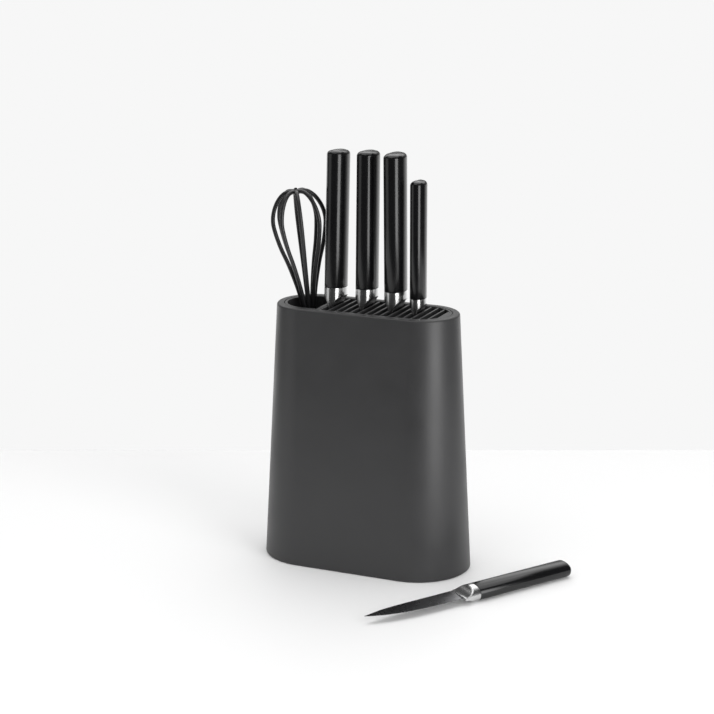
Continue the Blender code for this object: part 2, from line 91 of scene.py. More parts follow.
class Shader:
    """A material under construction: adds nodes and links them to its Principled shader."""

    def __init__(self, name: str) -> None:
        """Starts a material with an empty Principled shader.

        Args:
            name: The material's name.
        """
        self.material = bpy.data.materials.new(name)
        self.material.use_nodes = True
        self.tree = self.material.node_tree
        self.surface = self.tree.nodes["Principled BSDF"]

    def add(self, kind: str, **sockets: object) -> bpy.types.Node:
        """Adds a node and fills its inputs.

        Args:
            kind: The node's type, without its ShaderNode prefix.
            sockets: Input names, with underscores for spaces, and a value or an output to link.

        Returns:
            The new node.
        """
        node = self.tree.nodes.new(f"ShaderNode{kind}")
        self.fill(node, sockets)
        return node

    def set(self, **sockets: object) -> None:
        """Sets or links inputs of the Principled shader, named as add() names them."""
        self.fill(self.surface, sockets)

    def fill(self, node: bpy.types.Node, sockets: dict[str, object]) -> None:
        """Sets a node's inputs to values, or links them where an output is given."""
        for name, value in sockets.items():
            socket = node.inputs[name.replace("_", " ")]
            if isinstance(value, bpy.types.NodeSocket):
                self.tree.links.new(value, socket)
            else:
                socket.default_value = value

    def place(self, stretch: Sequence[float] = (1.0, 1.0, 1.0), from_uv: bool = False) -> bpy.types.NodeSocket:
        """Gives pattern coordinates in metres.

        Args:
            stretch: How much the pattern is squeezed along each axis.
            from_uv: True reads the piece's own map in place of its place in the frame.

        Returns:
            The coordinate output.
        """
        coordinates = self.add("TexCoord")
        source = coordinates.outputs["UV" if from_uv else "Object"]
        return self.add("Mapping", Vector=source, Scale=stretch).outputs["Vector"]

    def noise(self, place: bpy.types.NodeSocket, grain: float, detail: float = 2.0) -> bpy.types.NodeSocket:
        """Gives a noise whose features are about one grain, in metres, across."""
        return self.add("TexNoise", Vector=place, Scale=1.0 / grain, Detail=detail).outputs["Fac"]

    def spread(self, factor: bpy.types.NodeSocket, low: float, high: float) -> bpy.types.NodeSocket:
        """Maps the middle of a noise to the range from low to high."""
        return self.add("MapRange", Value=factor, From_Min=0.3, From_Max=0.7, To_Min=low,
                        To_Max=high).outputs["Result"]

    def tint(self, factor: bpy.types.NodeSocket, low: Sequence[float],
             high: Sequence[float]) -> bpy.types.NodeSocket:
        """Blends between two colours by a factor."""
        ramp = self.add("ValToRGB", Fac=factor)
        ramp.color_ramp.elements[0].position = 0.3
        ramp.color_ramp.elements[0].color = (*low, 1.0)
        ramp.color_ramp.elements[1].position = 0.7
        ramp.color_ramp.elements[1].color = (*high, 1.0)
        return ramp.outputs["Color"]

    def bump(self, height: bpy.types.NodeSocket, depth: float,
             under: bpy.types.NodeSocket | None = None) -> bpy.types.NodeSocket:
        """Turns a height into a surface normal, depth in metres, on top of another bump if given."""
        node = self.add("Bump", Height=height, Strength=1.0, Distance=depth)
        if under:
            self.tree.links.new(under, node.inputs["Normal"])
        return node.outputs["Normal"]


def shade(colour: Sequence[float], factor: float) -> tuple[float, float, float]:
    """A colour made lighter or darker by a factor."""
    return tuple(channel * factor for channel in colour)


@dataclass(frozen=True)
class MouldedPlastic:
    """Moulded plastic with a fine spark-eroded grain.

    Fields:
        roughness: Low and high of its slow variation.
        grain: Size of the grain, in metres.
        depth: Height of the grain, in metres.
        mottle: Share by which the colour varies either way.
    """

    name: str
    colour: tuple[float, float, float]
    roughness: tuple[float, float]
    grain: float
    depth: float
    mottle: float

    def build(self) -> bpy.types.Material:
        """Makes the material."""
        shader = Shader(self.name)
        place = shader.place()
        cloud = shader.noise(place, 0.035, 3.0)
        fine = shader.noise(place, self.grain, 3.0)
        finer = shader.noise(place, self.grain * 0.37, 2.0)
        shader.set(
            Base_Color=shader.tint(cloud, shade(self.colour, 1 - self.mottle), shade(self.colour, 1 + self.mottle)),
            Roughness=shader.spread(cloud, *self.roughness),
            Normal=shader.bump(finer, self.depth * 0.5, under=shader.bump(fine, self.depth)),
        )
        return shader.material


@dataclass(frozen=True)
class Steel:
    """Stainless steel with fine lines from grinding or polishing.

    Fields:
        lines: Pattern squeeze along the piece's own map; the lines run along the smaller one.
        depth: Height of the lines, in metres.
    """

    name: str
    colour: tuple[float, float, float]
    roughness: tuple[float, float]
    lines: tuple[float, float, float]
    depth: float
    anisotropic: float = 0.0

    def build(self) -> bpy.types.Material:
        """Makes the material."""
        shader = Shader(self.name)
        place = shader.place(self.lines, from_uv=True)
        streaks = shader.noise(place, 0.0011, 4.0)
        cloud = shader.noise(shader.place(), 0.012, 2.0)
        shader.set(
            Base_Color=shader.tint(streaks, shade(self.colour, 0.93), shade(self.colour, 1.05)),
            Metallic=1.0,
            Roughness=shader.spread(cloud, *self.roughness),
            Anisotropic=self.anisotropic,
            Normal=shader.bump(streaks, self.depth),
        )
        return shader.material


@dataclass(frozen=True)
class Rubber:
    """Matt black rubber, a little dusty."""

    name: str
    colour: tuple[float, float, float]

    def build(self) -> bpy.types.Material:
        """Makes the material."""
        shader = Shader(self.name)
        place = shader.place()
        dust = shader.noise(place, 0.006, 4.0)
        shader.set(
            Base_Color=shader.tint(dust, self.colour, shade(self.colour, 1.8)),
            Roughness=shader.spread(dust, 0.78, 0.92),
            Normal=shader.bump(shader.noise(place, 0.0007), 0.00004),
        )
        return shader.material


class Finishes:
    """Every material of the set, one for each slot."""

    def __init__(self) -> None:
        """Makes the materials."""
        kinds = {
            Slot.SHELL: MouldedPlastic("shell_grey", (0.029, 0.029, 0.030), (0.40, 0.47), 0.00055, 0.00001, 0.05),
            Slot.INSERT: MouldedPlastic("insert_grey", (0.026, 0.026, 0.027), (0.36, 0.44), 0.0005, 0.00001, 0.06),
            Slot.PLATE: MouldedPlastic("plate_grey", (0.030, 0.030, 0.031), (0.50, 0.60), 0.0007, 0.00002, 0.08),
            Slot.HANDLE: MouldedPlastic("handle_black", (0.0045, 0.0045, 0.005), (0.18, 0.22), 0.0006,
                                        0.000002, 0.10),
            Slot.WHISK: MouldedPlastic("whisk_black", (0.013, 0.013, 0.014), (0.34, 0.44), 0.0007, 0.000008, 0.12),
            Slot.PAD: Rubber("pad_rubber", (0.018, 0.018, 0.018)),
            Slot.SCREW: Steel("screw_steel", (0.50, 0.50, 0.50), (0.28, 0.38), (1.0, 1.0, 1.0), 0.000002),
            Slot.BOLSTER: Steel("bolster_steel", (0.60, 0.60, 0.60), (0.20, 0.26), (1.0, 0.06, 1.0), 0.0000001),
            Slot.BLADE: Steel("blade_steel", (0.17, 0.17, 0.175), (0.26, 0.29), (1.0, 0.05, 1.0), 0.0, 0.2),
        }
        self.materials = {slot: kind.build() for slot, kind in kinds.items()}

    def dress(self, piece: bpy.types.Object, slot: Slot) -> None:
        """Gives a new piece or a CAD node the material of a slot.

        Args:
            piece: The object to dress.
            slot: The slot whose material it takes.
        """
        piece.data.materials.clear()
        piece.data.materials.append(self.materials[slot])


# ---------------------------------------------------------------- mesh work


def stadium(half_length: float, radius: float, z: float, steps: int = 48) -> Outline:
    """Round-ended plan outline, anticlockwise from above.

    Args:
        half_length: Half of its length along X.
        radius: Radius of its ends.
        z: Its height.
        steps: Spans in each round end.

    Returns:
        The outline's points.
    """
    straight = half_length - radius
    points = []
    for side, start in ((1, -math.pi / 2), (-1, math.pi / 2)):
        for i in range(steps + 1):
            angle = start + math.pi * i / steps
            points.append(Vector((side * straight + radius * math.cos(angle), radius * math.sin(angle), z)))
    return points


def half_width(x: float, half_length: float, radius: float) -> float:
    """Half the width of a round-ended shape at x."""
    past = max(0.0, abs(x) - (half_length - radius))
    return math.sqrt(max(0.0, radius * radius - past * past))


def add_ring(bm: bmesh.types.BMesh, points: Iterable[Vector]) -> Ring:
    """Adds a closed loop of edges through the points."""
    ring = [bm.verts.new(point) for point in points]
    for pair in zip(ring, ring[1:] + ring[:1]):
        bm.edges.new(pair)
    return ring


def ring_edges(bm: bmesh.types.BMesh, ring: Ring) -> list[bmesh.types.BMEdge]:
    """The edges of a ring."""
    return [bm.edges.get(pair) for pair in zip(ring, ring[1:] + ring[:1])]


def level_edges(bm: bmesh.types.BMesh, z: float) -> list[bmesh.types.BMEdge]:
    """The edges that lie at height z."""
    return [edge for edge in bm.edges if all(abs(vert.co.z - z) < SAME_PLACE for vert in edge.verts)]


def skin(bm: bmesh.types.BMesh, rings: Sequence[Ring], closed: bool = False) -> None:
    """Skins rings of equal count one after the other.

    Args:
        bm: The mesh.
        rings: The rings, in order.
        closed: True joins the last ring to the first, and False caps both.
    """
    pairs = list(zip(rings, rings[1:]))
    if closed:
        pairs.append((rings[-1], rings[0]))
    else:
        bm.faces.new(rings[0])
        bm.faces.new(rings[-1])
    for low, high in pairs:
        for i in range(len(low)):
            bm.faces.new((low[i - 1], low[i], high[i], high[i - 1]))
    bmesh.ops.recalc_face_normals(bm, faces=bm.faces)


def round_over(bm: bmesh.types.BMesh, edges: Iterable[bmesh.types.BMEdge], radius: float, segments: int = 4) -> None:
    """Rounds edges over."""
    bmesh.ops.bevel(bm, geom=list(edges), offset=radius, offset_type="OFFSET", segments=segments, profile=0.5,
                    affect="EDGES", material=-1, clamp_overlap=True)


def add_bar(bm: bmesh.types.BMesh, low: Sequence[float], high: Sequence[float], edge: float) -> None:
    """Adds a box whose long top edges, those along Y, are rounded over."""
    size = Vector(high) - Vector(low)
    middle = (Vector(high) + Vector(low)) / 2
    matrix = Matrix.Translation(middle) @ Matrix.Diagonal((*size, 1.0))
    corners = bmesh.ops.create_cube(bm, size=1.0, matrix=matrix)["verts"]
    edges = {link for corner in corners for link in corner.link_edges}
    top = [e for e in edges if all(abs(v.co.z - high[2]) < 1e-7 for v in e.verts)
           and abs(e.verts[0].co.x - e.verts[1].co.x) < 1e-7]
    round_over(bm, top, edge, 3)


def add_spin(bm: bmesh.types.BMesh, profile: Sequence[tuple[float, float]], steps: int = 48) -> None:
    """Adds a solid of revolution about Z from (radius, height) points that start and end on the axis."""
    corners = [bm.verts.new((radius, 0.0, height)) for radius, height in profile]
    edges = [bm.edges.new(pair) for pair in zip(corners, corners[1:])]
    bmesh.ops.spin(bm, geom=corners + edges, cent=(0, 0, 0), axis=(0, 0, 1), angle=2 * math.pi, steps=steps,
                   use_merge=True)
    bmesh.ops.remove_doubles(bm, verts=bm.verts, dist=1e-6)


class Piece:
    """A visible piece while it is being made, in its own frame, and then put in place."""

    def __init__(self, name: str) -> None:
        """Starts an empty mesh.

        Args:
            name: The finished object's name.
        """
        self.name = name
        self.bm = bmesh.new()

    def map_flank(self) -> None:
        """Lays the piece's own map over its flanks: across along U and lengthwise along V, in metres."""
        layer = self.bm.loops.layers.uv.verify()
        for face in self.bm.faces:
            for loop in face.loops:
                loop[layer].uv = (loop.vert.co.y + loop.vert.co.x, loop.vert.co.z)

    def finish(self, finishes: Finishes, slot: Slot, body: str, replaces: Sequence[str] = (),
               place: Matrix | None = None) -> bpy.types.Object:
        """Closes the mesh off, puts it in place, dresses it and ties it to its body.

        Args:
            finishes: The set's materials.
            slot: The material slot.
            body: The CAD body that it rides on.
            replaces: The CAD nodes that it stands for.
            place: Where its own frame lies, or None where that is the set's frame.

        Returns:
            The finished object.
        """
        bmesh.ops.recalc_face_normals(self.bm, faces=self.bm.faces)
        self.map_flank()
        if place:
            bmesh.ops.transform(self.bm, matrix=place, verts=self.bm.verts)
        mesh = bpy.data.meshes.new(self.name)
        self.bm.to_mesh(mesh)
        self.bm.free()
        mesh.shade_smooth()
        mesh.set_sharp_from_angle(angle=SMOOTH_ANGLE)
        made = bpy.data.objects.new(self.name, mesh)
        bpy.context.scene.collection.objects.link(made)
        finishes.dress(made, slot)
        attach(made, body)
        if replaces:
            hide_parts(*replaces)
        LOG.info("%s: %d faces", self.name, len(mesh.polygons))
        return made


# ---------------------------------------------------------------- block


@dataclass
class Shell:
    """The outer moulding: tapered walls with round ends and a broad flat rim.

    Its height comes from the frame, and its plan sizes are those of the design.
    """

    finishes: Finishes
    foot: tuple[float, float] = (0.0935, 0.0465)
    top: tuple[float, float] = (0.082, 0.032)
    wall: float = 0.003
    rim_width: float = 0.0063
    rim_depth: float = 0.004
    rim_slope: float = 0.004
    outer_edge: float = 0.002
    inner_edge: float = 0.0005
    foot_edge: float = 0.001
    boss_radius: float = 0.004
    boss_out: float = 0.0375
    boss_angle: float = math.radians(60)
    boss_span: tuple[float, float] = (0.0053, 0.0243)

    def section(self, z: float, height: float, inset: float) -> Outline:
        """The wall's outline at height z, moved in by inset."""
        share = z / height
        half_length = self.foot[0] + (self.top[0] - self.foot[0]) * share - inset
        radius = self.foot[1] + (self.top[1] - self.foot[1]) * share - inset
        return stadium(half_length, radius, z)

    def boss_places(self) -> list[tuple[float, float]]:
        """The four screw axes."""
        x = self.foot[0] - self.foot[1] + self.boss_out * math.cos(self.boss_angle)
        y = self.boss_out * math.sin(self.boss_angle)
        return [(side_x * x, side_y * y) for side_x in (1, -1) for side_y in (1, -1)]

    def build(self) -> bpy.types.Object:
        """Makes the shell."""
        low, high = (corner.z for corner in map(Vector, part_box("outer_shell")))
        piece = Piece("shell")
        bm = piece.bm
        opening = (self.top[0] - self.rim_width, self.top[1] - self.rim_width)
        foot_out = add_ring(bm, self.section(low, high, 0.0))
        top_out = add_ring(bm, self.section(high, high, 0.0))
        top_in = add_ring(bm, stadium(*opening, high))
        rim_low = add_ring(bm, stadium(*opening, high - self.rim_depth))
        slope = add_ring(bm, self.section(high - self.rim_depth - self.rim_slope, high, self.wall))
        foot_in = add_ring(bm, self.section(low, high, self.wall))
        skin(bm, [foot_out, top_out, top_in, rim_low, slope, foot_in], closed=True)
        round_over(bm, ring_edges(bm, top_out), self.outer_edge, 8)
        round_over(bm, ring_edges(bm, top_in), self.inner_edge, 3)
        round_over(bm, ring_edges(bm, foot_out), self.foot_edge, 4)
        for x, y in self.boss_places():
            middle = Matrix.Translation((x, y, sum(self.boss_span) / 2))
            bmesh.ops.create_cone(bm, cap_ends=True, segments=32, radius1=self.boss_radius,
                                  radius2=self.boss_radius, depth=self.boss_span[1] - self.boss_span[0],
                                  matrix=middle)
        return piece.finish(self.finishes, Slot.SHELL, Body.BLOCK.value, ["outer_shell"])


@dataclass
class Foot:
    """What closes the shell underneath: plate, rubber pad and screws, which are the CAD's own."""

    finishes: Finishes

    def build(self) -> None:
        """Dresses the plate, the pad and the four screws."""
        self.finishes.dress(frame["nodes"]["base_plate"], Slot.PLATE)
        self.finishes.dress(frame["nodes"]["anti_slip_pad"], Slot.PAD)
        for number in range(1, 5):
            self.finishes.dress(frame["nodes"][f"base_screw_{number}"], Slot.SCREW)
        LOG.info("foot dressed")


@dataclass
class Insert:
    """The lift-out insert: a thin round-ended tube with slats, a divider and the utensil well."""

    finishes: Finishes
    outside: tuple[float, float] = (0.0754, 0.0254)
    grid: tuple[float, float] = (0.073, 0.0243)
    well_radius: float = 0.023
    well_floor: float = 0.073
    floor_thickness: float = 0.003
    slat_top: float = 0.2244
    slat_bottom: float = 0.105
    first_slot: float = -0.0304
    pitch: float = 0.00687
    slot_width: float = 0.0052
    slots: int = 15
    divider_left: float = -0.0380
    divider_step: float = 0.0015
    step_x: float = -0.0360
    overlap: float = 0.0003
    edge: float = 0.0005

    def outline(self, half_length: float, radii: tuple[float, float], z: float) -> Outline:
        """A round-ended outline with one half-width along the slots and another round the well.

        Args:
            half_length: Half of its length.
            radii: Half-widths along the slots and round the well.
            z: Its height.

        Returns:
            The outline's points.
        """
        slots, well = (stadium(half_length, radius, z) for radius in radii)
        half = len(slots) // 2
        step = [(self.step_x + self.edge, radii[0]), (self.step_x, radii[1])]
        back = [Vector((x, y, z)) for x, y in step]
        front = [Vector((x, -y, z)) for x, y in reversed(step)]
        return [*slots[:half], *back, *well[half:], *front]

    def add_tube(self, bm: bmesh.types.BMesh, low: float, high: float) -> None:
        """Adds the round-ended tube, whose top edge is the ring round the slats."""
        length, radius = self.outside
        out_low, out_high = (add_ring(bm, self.outline(length, (radius, radius), z)) for z in (low, high))
        inside = (self.grid[1], self.well_radius)
        in_high, in_low = (add_ring(bm, self.outline(self.grid[0], inside, z)) for z in (high, low))
        skin(bm, [out_low, out_high, in_high, in_low], closed=True)
        round_over(bm, ring_edges(bm, out_high) + ring_edges(bm, in_high), self.edge, 3)

    def add_divider(self, bm: bmesh.types.BMesh, low: float, high: float) -> None:
        """Adds the wall between the well and the slots, with the low step on its slot side."""
        side = self.grid[1] + self.overlap
        right = self.first_slot - self.slot_width / 2
        add_bar(bm, (self.divider_left, -side, low), (right - self.divider_step, side, high), self.edge)
        add_bar(bm, (right - 2 * self.divider_step, -side, low), (right, side, self.slat_top), self.edge)

    def add_slats(self, bm: bmesh.types.BMesh) -> None:
        """Adds the slats between the slots, each cut to the width of the tube."""
        width = self.pitch - self.slot_width
        for index in range(self.slots - 1):
            x = self.first_slot + self.pitch * (index + 0.5)
            side = half_width(x - width / 2, *self.grid) + self.overlap
            add_bar(bm, (x - width / 2, -side, self.slat_bottom), (x + width / 2, side, self.slat_top), self.edge)

    def add_end(self, bm: bmesh.types.BMesh) -> None:
        """Adds the solid end past the last slot."""
        start = self.first_slot + self.pitch * (self.slots - 1) + self.slot_width / 2
        stop = self.grid[0] + self.overlap
        steps = 12
        along = [start + (stop - start) * i / steps for i in range(steps + 1)]
        size = (stop + self.overlap, self.grid[1] + 2 * self.overlap)
        rings = []
        for z in (self.slat_bottom, self.slat_top):
            near = [Vector((x, -half_width(x, *size), z)) for x in along]
            far = [Vector((x, half_width(x, *size), z)) for x in reversed(along)]
            rings.append(add_ring(bm, near + far))
        skin(bm, rings)

    def add_well_floor(self, bm: bmesh.types.BMesh) -> None:
        """Adds the floor of the utensil well."""
        stop = self.divider_left + self.divider_step
        reach = self.grid[0] + self.overlap
        size = (reach, self.well_radius + self.overlap)
        steps = 40
        along = [-reach + (stop + reach) * i / steps for i in range(steps + 1)]
        rings = []
        for z in (self.well_floor - self.floor_thickness, self.well_floor):
            near = [Vector((x, -half_width(x, *size), z)) for x in along[1:]]
            far = [Vector((x, half_width(x, *size), z)) for x in reversed(along[1:])]
            rings.append(add_ring(bm, [Vector((-reach, 0.0, z)), *near, *far]))
        skin(bm, rings)

    def build(self) -> bpy.types.Object:
        """Makes the insert."""
        low, high = (corner.z for corner in map(Vector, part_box("slot_insert")))
        piece = Piece("slotted_insert")
        self.add_tube(piece.bm, low, high)
        self.add_divider(piece.bm, low, high)
        self.add_slats(piece.bm)
        self.add_end(piece.bm)
        self.add_well_floor(piece.bm)
        return piece.finish(self.finishes, Slot.INSERT, Body.INSERT.value, ["slot_insert"])


# ---------------------------------------------------------------- knives


@dataclass(frozen=True)
class Grip:
    """Handle and bolster sizes that several knives share."""

    length: float
    thick: float
    deep: float
    bolster: float
    scoop_start: float


@dataclass(frozen=True)
class Edge:
    """The outline of a blade: how long and wide it is, and how it comes to its tip."""

    length: float
    width: float
    spine_turn: float
    belly_turn: float
    belly_power: float
    tip_drop: float
    serrated: bool = False


BIG_GRIP = Grip(0.117, 0.018, 0.025, 0.0203, 0.0075)
SMALL_GRIP = Grip(0.100, 0.013, 0.019, 0.0162, 0.0058)


@dataclass
class Knife:
    """One knife: handle, bolster and blade, made with the blade down -Z and its edge to -Y.

    Fields:
        name: Its body's name, which its CAD nodes start with.
        place: Where its bolster's foot is and which way it points.
        butt_rings: How far in each step of the butt's dome lies, and its share of the dome's height.
        scoop_ease: How softly the bolster's hollows run out.
        taper: The blade's thickness near its tip, as a share of its width there.
        tooth: Pitch and depth of the scallops on a serrated edge.
    """

    finishes: Finishes
    name: str
    grip: Grip
    edge: Edge
    place: Matrix
    power: float = 2.25
    butt_edge: float = 0.0030
    dome: float = 0.0012
    butt_rings: tuple[tuple[float, float], ...] = ((0.0034, 0.5), (0.0013, 0.3), (0.0011, 0.2))
    seam_edge: float = 0.0002
    gap: float = 0.0003
    bolster_foot: float = 0.0026
    scoop_ease: float = 0.0009
    blade_thick: float = 0.0022
    edge_thick: float = 0.0003
    tip_width: float = 0.0004
    tang_width: float = 0.010
    tang_share: float = 0.6
    tang_grind: float = 0.02
    spine_inset: float = 0.0004
    grind: float = 0.9
    taper: float = 0.13
    tooth: tuple[float, float] = (0.0065, 0.0009)

    def oval(self, z: float, inset: float = 0.0, steps: int = 96) -> Outline:
        """The grip's cross-section at height z."""
        points = []
        for i in range(steps):
            angle = 2 * math.pi * i / steps
            cos, sin = math.cos(angle), math.sin(angle)
            x = math.copysign(abs(cos) ** (2 / self.power), cos) * (self.grip.thick / 2 - inset)
            y = math.copysign(abs(sin) ** (2 / self.power), sin) * (self.grip.deep / 2 - inset)
            points.append(Vector((x, y, z)))
        return points

    def build_handle(self) -> None:
        """Makes the black handle, its butt rounded over and slightly domed."""
        piece = Piece(f"{self.name}_grip")
        bm = piece.bm
        low = self.grip.bolster + self.gap
        high = self.grip.bolster + self.grip.length - self.dome
        bottom, top = (add_ring(bm, self.oval(z)) for z in (low, high))
        skin(bm, [bottom, top])
        butt = next(face for face in bm.faces if len(face.verts) > 4 and face.calc_center_median().z > low + 0.01)
        for inset, rise in self.butt_rings:
            bmesh.ops.inset_region(bm, faces=[butt], thickness=inset)
            bmesh.ops.translate(bm, verts=butt.verts, vec=(0, 0, self.dome * rise))
        round_over(bm, level_edges(bm, high), self.butt_edge, 8)
        round_over(bm, level_edges(bm, low), self.seam_edge, 2)
        piece.finish(self.finishes, Slot.HANDLE, self.name, [f"{self.name}_handle"], self.place)

    def bolster_outline(self, z: float) -> Outline:
        """The bolster's cross-section at height z: the grip's oval, hollowed on both flanks towards the foot."""
        foot = self.bolster_foot / 2
        rise = self.grip.bolster - self.grip.scoop_start
        reach = self.grip.thick / 2 - foot
        radius = (reach * reach + rise * rise) / (2 * reach)
        flank = foot + radius - math.sqrt(max(0.0, radius * radius - z * z)) if z < radius else self.grip.thick
        points = []
        for point in self.oval(z, steps=144):
            blend = min(1.0, max(0.0, 0.5 + 0.5 * (flank - abs(point.x)) / self.scoop_ease))
            thin = flank + (abs(point.x) - flank) * blend - self.scoop_ease * blend * (1 - blend)
            points.append(Vector((math.copysign(max(thin, 0.0), point.x), point.y, z)))
        return points

    def build_bolster(self) -> None:
        """Makes the polished bolster."""
        piece = Piece(f"{self.name}_collar")
        steps = 56
        heights = [self.grip.bolster * i / steps for i in range(steps + 1)]
        skin(piece.bm, [add_ring(piece.bm, self.bolster_outline(z)) for z in heights])
        round_over(piece.bm, level_edges(piece.bm, self.grip.bolster), self.seam_edge, 2)
        piece.finish(self.finishes, Slot.BOLSTER, self.name, [f"{self.name}_bolster"], self.place)

    def blade_lines(self, share: float) -> tuple[float, float]:
        """Where the spine and the cutting edge are, at a share of the blade's length."""
        edge = self.edge
        top = self.grip.deep / 2 - self.spine_inset
        heel = top - edge.width
        tip = top - edge.tip_drop
        fall = max(0.0, (share - edge.spine_turn) / (1 - edge.spine_turn)) ** 2
        rise = max(0.0, (share - edge.belly_turn) / (1 - edge.belly_turn)) ** edge.belly_power
        spine = top - (edge.tip_drop - self.tip_width / 2) * fall
        cut = heel + (tip - self.tip_width / 2 - heel) * rise
        if edge.serrated and 0.04 < share < 0.96:
            pitch, depth = self.tooth
            cut += depth * abs(math.sin(math.pi * share * edge.length / pitch))
        return spine, min(cut, spine - self.tip_width)

    def blade_section(self, spine: float, edge: float, z: float, grind: float) -> Outline:
        """One cross-section of the blade: eased spine, flat flanks and a ground edge."""
        shoulder = edge + (spine - edge) * grind
        fine = self.edge_thick / 2
        half = min(self.blade_thick / 2, max(fine, (spine - edge) * self.taper))
        ease = min(0.0003, (spine - edge) * 0.2)
        side = [(half - ease, spine), (half, spine - ease), (half, shoulder), (fine, edge)]
        return [Vector((x, y, z)) for x, y in side + [(-x, y) for x, y in reversed(side)]]

    def build_blade(self) -> None:
        """Makes the blade with its tang."""
        piece = Piece(f"{self.name}_steel")
        bm = piece.bm
        half = self.tang_width / 2
        reach = self.grip.bolster + self.tang_share * self.grip.length
        rings = [add_ring(bm, self.blade_section(half, -half, z, self.tang_grind)) for z in (reach, 0.0)]
        stations = 240 if self.edge.serrated else 60
        for i in range(stations + 1):
            share = i / stations
            spine, edge = self.blade_lines(share)
            down = self.gap + self.edge.length * share
            rings.append(add_ring(bm, self.blade_section(spine, edge, -down, self.grind)))
        skin(bm, rings)
        piece.finish(self.finishes, Slot.BLADE, self.name, [f"{self.name}_blade"], self.place)

    def build(self) -> None:
        """Makes the three pieces."""
        self.build_handle()
        self.build_bolster()
        self.build_blade()


@dataclass
class KnifeSet:
    """The four knives that hang in the slots and the one that lies in front."""

    finishes: Finishes
    heading: Vector = Vector((-0.521, -0.854, 0.0))
    roll: float = math.radians(5)

    def hanging(self, name: str, grip: Grip) -> Matrix:
        """Where a hanging knife is, from its joint's axis and the box of its bolster."""
        axis = Vector(next(j["axis"] for j in frame["record"]["behaviour"]["joints"] if j["child"] == name))
        low, high = map(Vector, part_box(f"{name}_bolster"))
        turn = Matrix.Rotation(-math.atan2(axis.y, axis.z), 4, "X")
        return Matrix.Translation((low + high) / 2 - axis * grip.bolster / 2) @ turn

    def lying(self, grip: Grip) -> Matrix:
        """Where the lying knife is: on its flank, its edge rolled down a little.

        The middle of the handle's box stands in for the handle's own middle, which puts the knife
        about 1.4 mm further towards its tip than the CAD's.
        """
        upward = -self.heading.normalized()
        level = Vector((upward.y, -upward.x, 0.0))
        to_spine = Vector((0, 0, math.sin(self.roll))) - level * math.cos(self.roll)
        flank = to_spine.cross(upward)
        low, high = map(Vector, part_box("paring_knife_handle"))
        turn = Matrix((flank, to_spine, upward)).transposed().to_4x4()
        middle = grip.bolster + (grip.length + Knife.gap) / 2
        return Matrix.Translation((low + high) / 2 - upward * middle) @ turn

    def build(self) -> None:
        """Makes every knife."""
        hanging = {
            "chef_knife": (BIG_GRIP, Edge(0.200, 0.0350, 0.55, 0.20, 2.0, 0.0160)),
            "bread_knife": (BIG_GRIP, Edge(0.200, 0.0290, 0.70, 0.80, 2.0, 0.0200, serrated=True)),
            "carving_knife": (BIG_GRIP, Edge(0.200, 0.0280, 0.75, 0.60, 2.0, 0.0090)),
            "utility_knife": (SMALL_GRIP, Edge(0.125, 0.0200, 0.60, 0.40, 2.4, 0.0060)),
        }
        for name, (grip, edge) in hanging.items():
            Knife(self.finishes, name, grip, edge, self.hanging(name, grip)).build()
        paring = Edge(0.090, 0.0150, 0.55, 0.00, 3.4, 0.0025)
        Knife(self.finishes, "paring_knife", SMALL_GRIP, paring, self.lying(SMALL_GRIP)).build()


# ---------------------------------------------------------------- whisk


